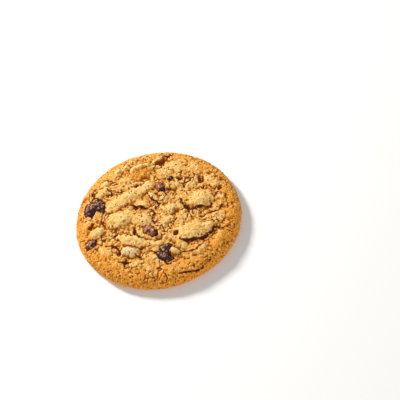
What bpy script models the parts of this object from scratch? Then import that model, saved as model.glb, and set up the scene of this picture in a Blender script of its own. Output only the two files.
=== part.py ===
"""Chocolate chip cookie.

A round biscuit that lies flat: one solid of baked dough with a rounded rim, a flat underside
and a lumpy top with mounds, hollows and cracks, and seven chocolate chips, each in its own
pocket in the top. Metres, +Z up; the origin is the middle of the flat underside.
"""
import math
from collections import namedtuple

import bmesh
import bpy
from mathutils import Vector

MM = 0.001

# Driving dimensions of the dough.
COOKIE_RADIUS = 46.0 * MM
CROWN_HEIGHT = 9.0 * MM         # the top's middle, before its mounds
SHOULDER_HEIGHT = 7.8 * MM      # the top where the rim begins to turn down
SHOULDER_WIDTH = 7.5 * MM       # how far in from the edge the rim turns down
WAIST_HEIGHT = 3.0 * MM         # height of the widest line of the rim
HEEL_WIDTH = 2.6 * MM           # how far the rim tucks in below its widest line
RELIEF_LIMIT = 44.5 * MM        # mounds, hollows and cracks die out at this radius
RELIEF_FADE = 8.0 * MM          # over this width

# How finely the dough is divided.
TURN_STEPS = 88
TOP_RINGS = 19
SHOULDER_RINGS = 5
HEEL_RINGS = 3
FIRST_RING = 2.5 * MM
UNDERSIDE_RING = 22.0 * MM
CHIP_DIVISIONS = 3
MERGE_DISTANCE = 0.01 * MM

# Clearance of each chip in its pocket.
POCKET_GAP = 0.32 * MM

# Waves of the outline: (waves round the rim, swing of the radius, start angle).
OUTLINE_WAVES = (
    (2, 0.30 * MM, 0.4),
    (3, 0.15 * MM, 1.9),
    (5, 0.12 * MM, 4.0),
    (9, 0.10 * MM, 2.2),
    (14, 0.06 * MM, 0.7),
)

# Mounds in mm: x, y, half length, half width, turn in degrees, rise.
MOUNDS = (
    (-6.0, 29.7, 9.5, 5.6, 12, 2.6),
    (-27.5, 21.5, 7.0, 5.0, 40, 1.8),
    (-15.0, 13.0, 15.0, 5.2, 20, 2.3),
    (-3.5, 17.4, 7.0, 4.2, 35, 2.0),
    (-20.0, -3.0, 11.0, 7.2, 10, 2.7),
    (-34.0, -8.2, 7.0, 4.6, 25, 2.2),
    (-15.0, -17.0, 11.5, 4.2, -16, 2.0),
    (-17.0, -24.4, 7.0, 4.4, -15, 2.4),
    (-4.5, -14.2, 7.5, 6.2, -10, 1.9),
    (7.5, 0.5, 8.0, 6.0, 0, 1.5),
    (25.0, 4.0, 9.0, 6.8, 10, 2.6),
    (17.0, -17.1, 14.0, 7.8, 8, 3.0),
    (20.0, 28.7, 12.0, 8.0, -35, 1.6),
    (11.0, 16.0, 5.2, 3.8, -10, 1.8),
    (33.5, 13.5, 8.5, 6.0, 70, 1.2),
    (9.5, -25.2, 6.5, 4.8, -30, 1.7),
    (-28.0, -25.6, 8.5, 5.2, -40, 1.4),
    (25.0, -28.0, 12.0, 5.0, 35, 1.2),
    (-8.0, 6.1, 7.0, 4.4, -15, 1.4),
    (33.0, -9.6, 7.0, 4.6, 20, 1.1),
    (36.0, -18.6, 8.0, 4.4, 55, 1.0),
    (4.0, -36.9, 9.5, 4.6, -4, 1.1),
    (-13.0, -33.0, 8.0, 4.6, -18, 1.2),
    (-38.5, 1.2, 6.0, 3.6, 80, 1.0),
    (-17.5, 33.6, 8.0, 4.4, 28, 1.1),
    (6.0, 27.8, 7.0, 4.0, -20, 1.0),
)

# Hollows in mm: x, y, radius, depth.
HOLLOWS = (
    (6.5, 35.5, 4.6, 2.2),
    (16.0, 21.0, 3.8, 1.8),
    (26.5, 18.0, 3.2, 2.2),
    (36.5, 11.0, 2.6, 1.4),
    (-37.0, -3.0, 3.2, 1.6),
    (8.5, -17.0, 2.6, 2.0),
    (-10.5, 20.3, 2.8, 2.0),
    (-23.0, -25.0, 2.6, 1.6),
    (-20.0, -31.0, 2.8, 1.6),
    (-13.0, -12.5, 3.0, 2.0),
)

# Cracks in mm: half width, depth, then the points that each runs through.
CRACKS = (
    (2.0, 2.4, ((13.5, 6.5), (15.0, 1.5), (20.0, -2.0), (27.0, -2.6), (31.0, 1.0))),
    (2.2, 2.8, ((9.5, -19.0), (15.0, -22.5), (21.5, -22.4), (28.0, -19.0), (32.0, -16.5), (38.0, -16.0))),
    (1.8, 1.8, ((23.0, -8.0), (29.0, -6.0), (36.0, -2.0))),
    (2.0, 2.2, ((-13.5, -8.5), (-12.2, -14.0), (-7.0, -18.4))),
    (1.8, 1.8, ((-14.5, 7.0), (-9.0, 3.6), (-4.0, 1.6))),
    (1.8, 1.8, ((-3.6, 13.0), (-2.0, 8.5), (1.0, 4.5), (-1.5, -1.0))),
    (1.8, 1.6, ((-26.0, -13.0), (-19.0, -12.2))),
    (1.8, 1.6, ((-29.5, 3.0), (-30.5, -4.0), (-27.5, -7.0))),
)

# Chips in mm, each of one or two drops melted together. A drop has its centre, its half sizes,
# its turn in degrees, and how far the end at the turn draws in to the tip.
Drop = namedtuple("Drop", "x y z half_length half_width half_height turn tip")
CHIPS = {
    "chip_left": (
        Drop(-36.6, 8.3, 6.4, 4.8, 3.4, 3.3, 78, 0.15),
        Drop(-31.8, 10.8, 6.8, 6.9, 3.2, 3.2, 110, 0.50),
    ),
    "chip_rim": (
        Drop(-37.0, -14.0, 6.3, 3.9, 2.4, 2.5, 30, 0.30),
    ),
    "chip_centre": (
        Drop(-5.8, -12.2, 8.2, 3.1, 2.8, 3.2, 20, 0.20),
        Drop(-3.8, -13.9, 7.9, 3.4, 2.8, 3.2, -62, 0.25),
    ),
    "chip_front": (
        Drop(1.6, -30.4, 6.5, 5.8, 2.8, 3.2, -37, 0.30),
        Drop(2.9, -25.2, 7.2, 3.7, 2.6, 3.0, 20, 0.20),
    ),
    "chip_back": (
        Drop(3.6, 16.4, 7.5, 3.7, 2.9, 3.1, 118, 0.30),
    ),
}

# Finishes: linear red, green and blue, then the roughness.
BAKED_DOUGH = ((0.60, 0.31, 0.08), 0.75)
CHOCOLATE = ((0.055, 0.019, 0.010), 0.40)


def clear_scene():
    """Start from an empty scene."""
    for item in list(bpy.data.objects):
        bpy.data.objects.remove(item, do_unlink=True)


def new_collection(name):
    """Add a collection to the scene."""
    collection = bpy.data.collections.new(name)
    bpy.context.scene.collection.children.link(collection)
    return collection


def new_material(name, finish):
    """Plain Principled material."""
    colour, roughness = finish
    material = bpy.data.materials.new(name)
    material.use_nodes = True
    shader = material.node_tree.nodes["Principled BSDF"]
    shader.inputs["Base Color"].default_value = (*colour, 1.0)
    shader.inputs["Roughness"].default_value = roughness
    shader.inputs["Metallic"].default_value = 0.0
    return material


def smooth_step(value):
    """Ease from 0 to 1."""
    value = min(max(value, 0.0), 1.0)
    return value * value * (3.0 - 2.0 * value)


def section_points():
    """Half section of the dough, from the top's middle over the rim to the underside's middle."""
    shoulder_radius = COOKIE_RADIUS - SHOULDER_WIDTH
    heel_radius = COOKIE_RADIUS - HEEL_WIDTH
    points = [(0.0, CROWN_HEIGHT)]
    for ring in range(TOP_RINGS):
        radius = FIRST_RING + (shoulder_radius - FIRST_RING) * ring / (TOP_RINGS - 1)
        fall = (radius / shoulder_radius) ** 2
        points.append((radius, CROWN_HEIGHT - (CROWN_HEIGHT - SHOULDER_HEIGHT) * fall))
    for ring in range(1, SHOULDER_RINGS + 1):
        angle = 0.5 * math.pi * ring / SHOULDER_RINGS
        radius = shoulder_radius + SHOULDER_WIDTH * math.sin(angle)
        points.append((radius, WAIST_HEIGHT + (SHOULDER_HEIGHT - WAIST_HEIGHT) * math.cos(angle)))
    for ring in range(1, HEEL_RINGS + 1):
        angle = 0.5 * math.pi * ring / HEEL_RINGS
        radius = heel_radius + HEEL_WIDTH * math.cos(angle)
        points.append((radius, WAIST_HEIGHT * (1.0 - math.sin(angle))))
    points.append((UNDERSIDE_RING, 0.0))
    points.append((0.0, 0.0))
    return points


def turned_blank(name, collection):
    """The dough before its relief: the half section turned once round, as a plain mesh."""
    mesh = bpy.data.meshes.new(name)
    points = section_points()
    edges = [(k, k + 1) for k in range(len(points) - 1)]
    mesh.from_pydata([(radius, 0.0, height) for radius, height in points], edges, [])
    profile = bpy.data.objects.new(name + "_profile", mesh)
    collection.objects.link(profile)
    screw = profile.modifiers.new("turn", "SCREW")
    screw.axis = "Z"
    screw.angle = 2.0 * math.pi
    screw.steps = TURN_STEPS
    screw.render_steps = TURN_STEPS
    screw.use_merge_vertices = True
    screw.merge_threshold = MERGE_DISTANCE
    evaluated = profile.evaluated_get(bpy.context.evaluated_depsgraph_get())
    turned = bpy.data.meshes.new_from_object(evaluated)
    turned.name = name
    bpy.data.objects.remove(profile, do_unlink=True)
    return turned


def mound_rise(x, y):
    """Height of the highest mound at a point, in mm."""
    rise = 0.0
    for mound_x, mound_y, half_length, half_width, turn, height in MOUNDS:
        angle = math.radians(turn)
        along = (x - mound_x) * math.cos(angle) + (y - mound_y) * math.sin(angle)
        across = (y - mound_y) * math.cos(angle) - (x - mound_x) * math.sin(angle)
        spread = (along / half_length) ** 2 + (across / half_width) ** 2
        rise = max(rise, height * (1.0 - spread))
    return rise


def hollow_depth(x, y):
    """Depth of the deepest hollow at a point, in mm."""
    depth = 0.0
    for hollow_x, hollow_y, radius, fall in HOLLOWS:
        spread = ((x - hollow_x) ** 2 + (y - hollow_y) ** 2) / radius ** 2
        depth = max(depth, fall * (1.0 - spread))
    return depth


def distance_to_run(x, y, points):
    """Distance from a point to a run of straight stretches, in mm."""
    nearest = math.inf
    place = Vector((x, y))
    for start, end in zip(points, points[1:]):
        start = Vector(start)
        step = Vector(end) - start
        share = min(max((place - start).dot(step) / step.length_squared, 0.0), 1.0)
        nearest = min(nearest, (place - start - share * step).length)
    return nearest


def crack_depth(x, y):
    """Depth of the deepest crack at a point, in mm."""
    depth = 0.0
    for half_width, fall, points in CRACKS:
        depth = max(depth, fall * (1.0 - distance_to_run(x, y, points) / half_width))
    return depth


def outline_swing(angle):
    """How far the rim stands out of or behind the true circle at an angle."""
    return sum(swing * math.sin(waves * angle + start) for waves, swing, start in OUTLINE_WAVES)


def shape_dough(mesh):
    """Give the turned blank its uneven outline and its lumpy top."""
    for vertex in mesh.vertices:
        x, y, z = vertex.co
        radius = math.hypot(x, y)
        if radius > 0.0:
            share = radius / COOKIE_RADIUS
            stretch = 1.0 + outline_swing(math.atan2(y, x)) * share / COOKIE_RADIUS
            vertex.co.x = x * stretch
            vertex.co.y = y * stretch
        if z > WAIST_HEIGHT:
            strength = smooth_step((RELIEF_LIMIT - radius) / RELIEF_FADE)
            place = (vertex.co.x / MM, vertex.co.y / MM)
            relief = mound_rise(*place) - hollow_depth(*place) - crack_depth(*place)
            vertex.co.z = z + strength * relief * MM


def make_dough(collection, material):
    """The baked dough, before its pockets."""
    mesh = turned_blank("dough", collection)
    shape_dough(mesh)
    mesh.shade_smooth()
    mesh.materials.append(material)
    dough = bpy.data.objects.new("dough", mesh)
    collection.objects.link(dough)
    return dough


def drop_mesh(name, drop, growth):
    """A drop of chocolate, drawn in towards its +X end; growth swells it all round."""
    shape = bmesh.new()
    bmesh.ops.create_icosphere(shape, subdivisions=CHIP_DIVISIONS, radius=1.0)
    for vertex in shape.verts:
        drawn = 1.0 - drop.tip * smooth_step(vertex.co.x)
        vertex.co.x *= drop.half_length * MM + growth
        vertex.co.y *= drawn * drop.half_width * MM + growth
        vertex.co.z *= drawn * drop.half_height * MM + growth
    mesh = bpy.data.meshes.new(name)
    shape.to_mesh(mesh)
    shape.free()
    mesh.shade_smooth()
    return mesh


def place_drop(name, drop, growth, collection):
    """A drop, swollen by growth, where it sits in the top."""
    item = bpy.data.objects.new(name, drop_mesh(name, drop, growth))
    item.location = (drop.x * MM, drop.y * MM, drop.z * MM)
    item.rotation_euler = (0.0, 0.0, math.radians(drop.turn))
    collection.objects.link(item)
    return item


def add_boolean(target, tool, operation):
    """Join a hidden tool to the target, or cut it out."""
    tool.hide_render = True
    tool.display_type = "WIRE"
    change = target.modifiers.new(tool.name, "BOOLEAN")
    change.operation = operation
    change.solver = "EXACT"
    change.object = tool


def make_chip(name, drops, parts, cutters, material):
    """A chip: its first drop, with any other joined to it."""
    chip = place_drop(name, drops[0], 0.0, parts)
    chip.data.materials.append(material)
    for k, drop in enumerate(drops[1:], start=2):
        add_boolean(chip, place_drop(f"{name}_drop_{k}", drop, 0.0, cutters), "UNION")


def cut_pocket(dough, name, drops, cutters):
    """Cut a chip's pocket in the dough, open at the top."""
    for k, drop in enumerate(drops, start=1):
        add_boolean(dough, place_drop(f"{name}_pocket_{k}", drop, POCKET_GAP, cutters), "DIFFERENCE")


def main():
    clear_scene()
    parts = new_collection("chocolate_chip_cookie")
    cutters = new_collection("boolean_tools")
    baked_dough = new_material("baked_dough", BAKED_DOUGH)
    chocolate = new_material("chocolate", CHOCOLATE)
    dough = make_dough(parts, baked_dough)
    for name, drops in CHIPS.items():
        make_chip(name, drops, parts, cutters, chocolate)
        cut_pocket(dough, name, drops, cutters)


main()
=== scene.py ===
"""Looks of the chocolate chip cookie: baked dough with its relief, chocolate chips and crumbs."""
import math
from collections import namedtuple

import bmesh
import bpy
import numpy as np
from mathutils import Matrix, Vector
from mathutils.bvhtree import BVHTree


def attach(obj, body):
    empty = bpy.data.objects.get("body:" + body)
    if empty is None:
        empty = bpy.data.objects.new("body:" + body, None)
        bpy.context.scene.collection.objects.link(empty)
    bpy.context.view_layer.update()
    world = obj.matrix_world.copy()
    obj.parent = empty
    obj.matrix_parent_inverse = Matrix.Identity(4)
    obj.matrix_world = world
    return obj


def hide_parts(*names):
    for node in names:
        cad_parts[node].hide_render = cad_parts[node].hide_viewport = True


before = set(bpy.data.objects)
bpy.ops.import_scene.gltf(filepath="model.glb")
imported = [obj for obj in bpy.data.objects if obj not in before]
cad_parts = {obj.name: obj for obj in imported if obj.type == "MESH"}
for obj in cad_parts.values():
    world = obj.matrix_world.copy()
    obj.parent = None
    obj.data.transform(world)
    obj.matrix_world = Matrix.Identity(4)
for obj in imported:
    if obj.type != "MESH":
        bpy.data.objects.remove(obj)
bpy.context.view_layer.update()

MM = 0.001

# The dough's section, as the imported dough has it.
COOKIE_RADIUS = 46.0 * MM
CROWN_HEIGHT = 9.0 * MM
SHOULDER_HEIGHT = 7.8 * MM
SHOULDER_WIDTH = 7.5 * MM
WAIST_HEIGHT = 3.0 * MM
HEEL_WIDTH = 2.6 * MM

# Spacing of the dough's points on its top, down its side and on its underside.
TOP_SPACING = 0.30 * MM
SIDE_SPACING = 0.36 * MM
UNDER_SPACING = 1.0 * MM
CHIP_SPACING = 0.22 * MM

# Uneven outline of the dough: waves round it, their size and where each starts in radians.
OUTLINE_WAVES = (
    (2, 0.30 * MM, 0.4),
    (3, 0.15 * MM, 1.9),
    (5, 0.12 * MM, 4.0),
    (9, 0.10 * MM, 2.2),
    (14, 0.06 * MM, 0.7),
)

# The craggy middle of the top fades out from the first of these radii to the second, where only
# the rim's fine grain is left.
MIDDLE_ENDS = 36.0 * MM
RIM_STARTS = 45.5 * MM

# Mounds in mm: centre, half sizes, turn in degrees, rise, and how full the mound is: 2 falls
# away evenly and 5 is flat with steep sides.
Mound = namedtuple("Mound", "x y half_length half_width turn rise fullness", defaults=(2.4,))
MOUNDS = tuple(Mound(*row) for row in (
    (-6, 29.2, 9, 5.4, 12, 2.3),
    (-6.6, 31.9, 8.6, 3.6, 11, 3.2, 2),
    (-27, 24.8, 5, 3.2, 40, 1.5),
    (-29, 18.6, 6, 3.4, 35, 1.9),
    (-15, 12.8, 15.5, 5.4, 24, 2),
    (-24, 7.9, 7, 5, 30, 1.5),
    (-3.5, 17.9, 7, 3.8, 35, 2.2),
    (-20, -2, 10.5, 6.8, 10, 2.7),
    (-9.5, -4.2, 8, 5.2, -25, 1.9),
    (-34, -8.3, 6.2, 4, 25, 2.3),
    (-15, -17.1, 11.5, 4.2, -24, 1.9, 2.2),
    (-3, -21.3, 7, 2.6, -22, 1.5, 2.2),
    (-17, -24.5, 6.4, 3.8, -15, 2.6),
    (-5.6, -14.2, 6.6, 5.2, -10, 1.1, 2.6),
    (7.5, 0.5, 6.4, 4.6, 0, 1.5),
    (5.5, -6.9, 5.4, 3.4, 20, 1.3),
    (25, 4, 9.2, 6.8, 10, 2.5),
    (17, -17.4, 13.5, 7.8, 8, 2.5, 2.2),
    (26, -15.2, 5.6, 4, 10, 2.6),
    (14, 30.1, 7.5, 5, -25, 1.6, 2.6),
    (24.5, 27.4, 7, 5, -50, 1.4, 2.6),
    (10.8, 16.1, 4.8, 3.2, -10, 1.9),
    (20, 14.9, 4.4, 3.2, 30, 1.4, 2.6),
    (32.5, 15.9, 4.4, 6, 20, 1.3, 2.6),
    (6.6, -27.9, 3.4, 2.2, -30, 2.6, 2.6),
    (11, -23.8, 5, 3.2, -30, 1.6),
    (-30, -22.6, 6.4, 4.6, -50, 1.4),
    (-27.5, -30, 6, 3.8, -40, 1),
    (20, -28.2, 8, 3.8, 20, 1.3),
    (32, -23.4, 7, 4, 45, 1.2),
    (-7.5, 6.1, 5.4, 3.4, -15, 1.5),
    (-1, 9.5, 3, 4.6, 25, 1.5, 2.6),
    (33, -9.1, 6.2, 4, 20, 1.2),
    (37, -16.1, 4, 6, -20, 1),
    (4, -37.3, 8.5, 4, -4, 1),
    (-13, -33.5, 7.2, 4.2, -18, 1.1),
    (-39, 1.3, 5.4, 3, 80, 0.9),
    (-17.5, 34.2, 7.6, 4, 28, 1),
    (-16, 25.2, 5, 3.4, 15, 1.2),
    (6, 27.1, 5.4, 3.4, -20, 1.2),
    (7.4, 16.2, 3.2, 2, 60, 2.2),
    (-32, 8.1, 1.2, 3, 15, 1.6),
))

# Hollows in mm, as mounds turned downwards.
HOLLOW_FULLNESS = 3.0
HOLLOWS = tuple(Mound(*row, HOLLOW_FULLNESS) for row in (
    (5.6, 35.4, 4.6, 2.6, 25, 2.4),
    (10.6, 38.6, 3.6, 1.2, 30, 1.4),
    (14.8, 20.9, 2.8, 1.7, -15, 2.2),
    (19.6, 20.4, 2, 1, 10, 1.4),
    (26.6, 18.2, 2.2, 2.8, 5, 2.4),
    (31.6, 21.6, 1.4, 1, 30, 1.4),
    (36.4, 10.6, 1.6, 2, 0, 1.6),
    (-36.4, -3.2, 3.2, 1.3, 35, 1.8),
    (8.4, -16.8, 1.6, 2, -20, 2.4),
    (-10.6, 20.3, 2.6, 1.4, 5, 3.4),
    (-23.4, -24.2, 1.2, 2.4, 25, 1.8),
    (-13, -11.6, 1.6, 3.2, 10, 1.6),
    (10, -1.4, 2.6, 1.4, 0, 1),
))

# Cracks in mm: half width, depth, then the points that each runs through.
Crack = namedtuple("Crack", "half_width depth points")
CRACKS = tuple(Crack(*row) for row in (
    (1, 2.2, ((13.4, 7), (14.2, 3), (16.4, -0.4), (20, -2.2), (24, -1.4), (29.6, -2.2))),
    (0.6, 1.4, ((29.8, 1.6), (30.2, -1), (28, -2.4))),
    (1.1, 2.4, ((10, -20.4), (13, -22.4), (18, -22.8), (22.5, -22.4), (26.6, -20.2), (29.6, -17.4))),
    (0.6, 1.4, ((29.6, -17.4), (30.8, -16.4), (35, -16.8), (39.6, -15.6))),
    (0.7, 1.5, ((23.6, -8.6), (26.4, -7.6), (29.8, -5.4), (33, -4.6), (37, -1.6))),
    (0.4, 1, ((31, -8.6), (31.4, -12.4))),
    (1, 2, ((-13.2, -8.6), (-13, -12.6), (-11.4, -15.6), (-7, -18.2))),
    (0.6, 1.2, ((-2.4, -18), (0.6, -18.6), (1.2, -16))),
    (0.8, 1.8, ((-14, 7.2), (-12.2, 4.8), (-9, 4), (-4.6, 2.2))),
    (0.6, 1.2, ((-4.6, 2.2), (-1.6, -0.6), (-3, -2.4))),
    (0.8, 1.8, ((-4, 13.6), (-3, 10), (-0.6, 7), (1, 4.6), (-1.2, 1.8))),
    (0.6, 1.4, ((5, 14.2), (5.6, 11.4), (5.4, 8.2))),
    (0.7, 1.4, ((5.4, 13.6), (8.6, 14.2))),
    (0.9, 1.8, ((-25.6, -13), (-24, -11.8), (-19.6, -12))),
    (0.5, 1.2, ((-19.6, -12), (-16, -12.6), (-14.6, -15))),
    (0.5, 1.2, ((-29.8, 3.6), (-30.6, -1.4), (-29.6, -4), (-26, -9))),
    (0.7, 1.5, ((-30.6, -18.4), (-27.6, -18.2), (-23.6, -20.4), (-22.8, -25.4))),
    (0.9, 1.8, ((-21.8, -29), (-19.8, -30.4), (-17.6, -30.8))),
    (0.5, 1, ((-15.4, 2.8), (-14.8, 2))),
    (0.7, 1.4, ((-26.2, 20.4), (-24.6, 18), (-24.4, 15.4))),
    (0.6, 1.4, ((-28.4, 29.6), (-25.6, 26.2), (-23, 25.2))),
    (0.5, 1.2, ((-21, 19), (-18.6, 17.6), (-16.6, 18))),
    (0.6, 1.4, ((-14.6, 36), (-11.4, 34.8), (-13.6, 30))),
    (0.5, 1.2, ((2, 32.6), (1, 29.6), (2.6, 26.6))),
    (0.5, 1.2, ((4, 39.2), (8, 39), (13.6, 41))),
    (0.5, 1, ((15, 26.8), (16, 23.4))),
    (0.5, 1, ((23.8, 22.2), (25.2, 20.6))),
    (0.5, 1, ((14.6, 17), (16.4, 14.8), (17.4, 12.2))),
    (0.5, 1, ((0.6, -11.8), (3, -12.4))),
    (0.5, 1, ((-28, -8.2), (-24.4, -9.8))),
    (0.7, 1.4, ((-8, -24), (-4, -26.4), (-1, -30.4), (3, -35), (6.6, -34.4), (9.4, -32))),
    (0.5, 1.1, ((-14.4, -26.4), (-10.6, -28), (-9, -25.4))),
    (0.5, 1.1, ((9.8, -29.4), (16, -28.8), (20, -27.6), (24.4, -24.6))),
    (0.5, 1, ((-3.6, -37.6), (-1, -37.8))),
    (0.4, 1.2, ((0.2, -38.6), (0.4, -42.6), (-0.4, -45.4))),
    (0.4, 1.2, ((-9.8, -39.8), (-9.4, -43.8))),
    (0.4, 1, ((4.6, -42.8), (5, -45.6))),
    (0.5, 0.7, ((8, -41.4), (14, -41.2), (20, -39), (25, -35.6))),
    (0.4, 1, ((22, -35.4), (24.6, -35.6))),
    (0.4, 1, ((27, -34.6), (28, -35.8))),
    (0.5, 1, ((36, -18.6), (38.6, -19.2))),
    (0.5, 1, ((-42, 12), (-40.6, 15.6), (-38.2, 18))),
    (0.4, 1, ((-35.2, 26), (-34.6, 21))),
))

# Bits of chocolate too small for pieces of their own, in mm: centre and half sizes, turn.
Bit = namedtuple("Bit", "x y z half_length half_width half_height turn")
CHIP_BITS = (
    Bit(-34.6, 20.2, 7.7, 1.2, 0.8, 1.0, 70),
    Bit(9.6, 21.6, 9.0, 2.0, 1.1, 1.3, 20),
    Bit(-5.2, -26.6, 6.9, 2.2, 1.2, 1.4, -40),
    Bit(26.8, 19.2, 6.3, 1.3, 1.0, 1.2, 30),
)

# How far the dough stays off the chips, and the least height of a pocket's floor.
POCKET_GAP = 0.30 * MM
LOWEST_FLOOR = 1.5 * MM
# How far round a chip the dough is darkened.
DARKENING_REACH = 1.0 * MM

# How much dusty bloom and painted pink sheen each chip shows, and the side its painted sheen faces.
CHIP_BLOOM_AND_SHEEN = {
    "chip_left": 0.20,
    "chip_rim": 0.45,
    "chip_centre": 0.85,
    "chip_front": 0.30,
    "chip_back": 0.75,
}
# Painted sheen: faces turned this way, up and towards the key light, are painted a lighter pink.
SHEEN_SIDE = (-0.45, 0.35, 0.82)
CHOCOLATE_COLOUR = (0.045, 0.010, 0.006, 1.0)
BLOOM_AND_SHEEN_COLOUR = (0.42, 0.150, 0.095, 1.0)

# Patches where dry flour shows through, in mm: the centre and the reach.
FLOURY_PATCHES = ((-16.6, -23.0, 7.0), (-1.5, -6.0, 5.0), (6.6, 19.4, 4.6))

# Patches painted browner than what is round them, mostly as painted shade on mound flanks
# # turned from the key light, in mm: the centre and the reach.
SHADED_PATCHES = ((-8.4, 27.4, 5.6), (-3.6, 28.6, 5.6), (9.0, 16.4, 3.4), (-37.0, -4.4, 4.4))

# The side of the rim painted more orange, as painted shade on the side turned from the key light.
SHADED_RIM_SIDE = (0.40, -0.92, 0.0)

# The camera: how steeply it looks down and how it is turned in degrees, its lens in mm, how much
# of the view the cookie takes, and where in the view it lies, from -1 to 1.
CAMERA_ELEVATION = 52.5
CAMERA_ROLL = 8.9
CAMERA_LENS = 90.0
COOKIE_SHARE_OF_VIEW = 0.4155
COOKIE_PLACE_IN_VIEW = (-0.2105, -0.078)

# Lights: direction that each comes from, distance, width, power in watts and colour.
Light = namedtuple("Light", "direction distance width power colour")
LIGHTS = {
    "key": Light((-0.54, 0.64, 0.52), 0.9, 0.22, 11.4, (1.0, 0.97, 0.93)),
    "fill": Light((0.35, -0.85, 0.60), 1.2, 1.00, 5.6, (1.0, 0.98, 0.96)),
}
WORLD_STRENGTH = 0.32
FLOOR_HALF_WIDTH = 3.0


class Wiring:
    """Short ways to add and join the nodes of one tree."""

    def __init__(self, tree):
        self.tree = tree

    def node(self, kind, **settings):
        node = self.tree.nodes.new(kind)
        for name, value in settings.items():
            setattr(node, name, value)
        return node

    def feed(self, socket, value):
        if isinstance(value, bpy.types.NodeSocket):
            self.tree.links.new(value, socket)
        else:
            socket.default_value = value

    def math(self, operation, *values):
        node = self.node("ShaderNodeMath", operation=operation)
        for socket, value in zip(node.inputs, values):
            self.feed(socket, value)
        return node.outputs["Value"]

    def plus(self, first, second):
        return self.math("ADD", first, second)

    def minus(self, first, second):
        return self.math("SUBTRACT", first, second)

    def times(self, first, second):
        return self.math("MULTIPLY", first, second)

    def vector(self, operation, *values):
        node = self.node("ShaderNodeVectorMath", operation=operation)
        for socket, value in zip(node.inputs, values):
            self.feed(socket, value)
        is_number = operation in ("LENGTH", "DOT_PRODUCT", "DISTANCE")
        return node.outputs["Value" if is_number else "Vector"]

    def scaled(self, vector, factor):
        node = self.node("ShaderNodeVectorMath", operation="SCALE")
        self.feed(node.inputs[0], vector)
        self.feed(node.inputs["Scale"], factor)
        return node.outputs["Vector"]

    def ramp(self, value, low, high, to_low=0.0, to_high=1.0, smooth=True):
        """A value that goes from to_low to to_high as another goes from low to high."""
        node = self.node("ShaderNodeMapRange")
        node.interpolation_type = "SMOOTHSTEP" if smooth else "LINEAR"
        for name, number in zip(("Value", "From Min", "From Max", "To Min", "To Max"),
                                (value, low, high, to_low, to_high)):
            self.feed(node.inputs[name], number)
        return node.outputs["Result"]

    def one_over(self, size):
        if isinstance(size, bpy.types.NodeSocket):
            return self.math("DIVIDE", 1.0, size)
        return 1.0 / size

    def noise(self, place, size, detail=2.0, roughness=0.5, output="Fac"):
        node = self.node("ShaderNodeTexNoise")
        self.feed(node.inputs["Vector"], place)
        self.feed(node.inputs["Scale"], self.one_over(size))
        self.feed(node.inputs["Detail"], detail)
        self.feed(node.inputs["Roughness"], roughness)
        return node.outputs[output]

    def cells(self, place, size, feature="F1", output="Distance"):
        node = self.node("ShaderNodeTexVoronoi", feature=feature)
        self.feed(node.inputs["Vector"], place)
        self.feed(node.inputs["Scale"], self.one_over(size))
        return node.outputs[output]

    def mix(self, factor, first, second):
        node = self.node("ShaderNodeMix", data_type="RGBA", blend_type="MIX")
        self.feed(node.inputs[0], factor)
        self.feed(node.inputs[6], first)
        self.feed(node.inputs[7], second)
        return node.outputs[2]


def new_tree(name, kind, inputs, outputs):
    """A node group with named inputs and outputs; returns the group, its wiring and its ends."""
    tree = bpy.data.node_groups.new(name, kind)
    for direction, sockets in (("INPUT", inputs), ("OUTPUT", outputs)):
        for label, socket_type, default in sockets:
            socket = tree.interface.new_socket(label, in_out=direction, socket_type=socket_type)
            if default is not None:
                socket.default_value = default
    wiring = Wiring(tree)
    group_in = wiring.node("NodeGroupInput").outputs
    group_out = wiring.node("NodeGroupOutput").inputs
    return tree, wiring, group_in, group_out


def add_object(name, mesh):
    """A new object for a mesh, linked to the scene."""
    item = bpy.data.objects.new(name, mesh)
    bpy.context.scene.collection.objects.link(item)
    return item


def run_geometry_tree(item, tree, values):
    """Run a geometry tree on an object with named input values; the object keeps the mesh."""
    modifier = item.modifiers.new(tree.name, "NODES")
    modifier.node_group = tree
    for socket in tree.interface.items_tree:
        if socket.item_type == "SOCKET" and socket.in_out == "INPUT" and socket.name in values:
            modifier[socket.identifier] = values[socket.name]
    depsgraph = bpy.context.evaluated_depsgraph_get()
    mesh = bpy.data.meshes.new_from_object(item.evaluated_get(depsgraph), depsgraph=depsgraph)
    mesh.name = item.name
    item.modifiers.remove(modifier)
    item.data = mesh
    return item


# ---------------------------------------------------------------- the dough's blank

def section_curve():
    """Half section of the dough, as close points from the top's middle to the heel."""
    shoulder_radius = COOKIE_RADIUS - SHOULDER_WIDTH
    heel_radius = COOKIE_RADIUS - HEEL_WIDTH
    share = np.linspace(0.0, 1.0, 400)
    top = np.stack([share * shoulder_radius,
                    CROWN_HEIGHT - (CROWN_HEIGHT - SHOULDER_HEIGHT) * share ** 2], axis=1)
    angle = 0.5 * math.pi * share[1:]
    shoulder = np.stack([shoulder_radius + SHOULDER_WIDTH * np.sin(angle),
                         WAIST_HEIGHT + (SHOULDER_HEIGHT - WAIST_HEIGHT) * np.cos(angle)], axis=1)
    heel = np.stack([heel_radius + HEEL_WIDTH * np.cos(angle),
                     WAIST_HEIGHT * (1.0 - np.sin(angle))], axis=1)
    return np.concatenate([top, shoulder, heel])


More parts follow.
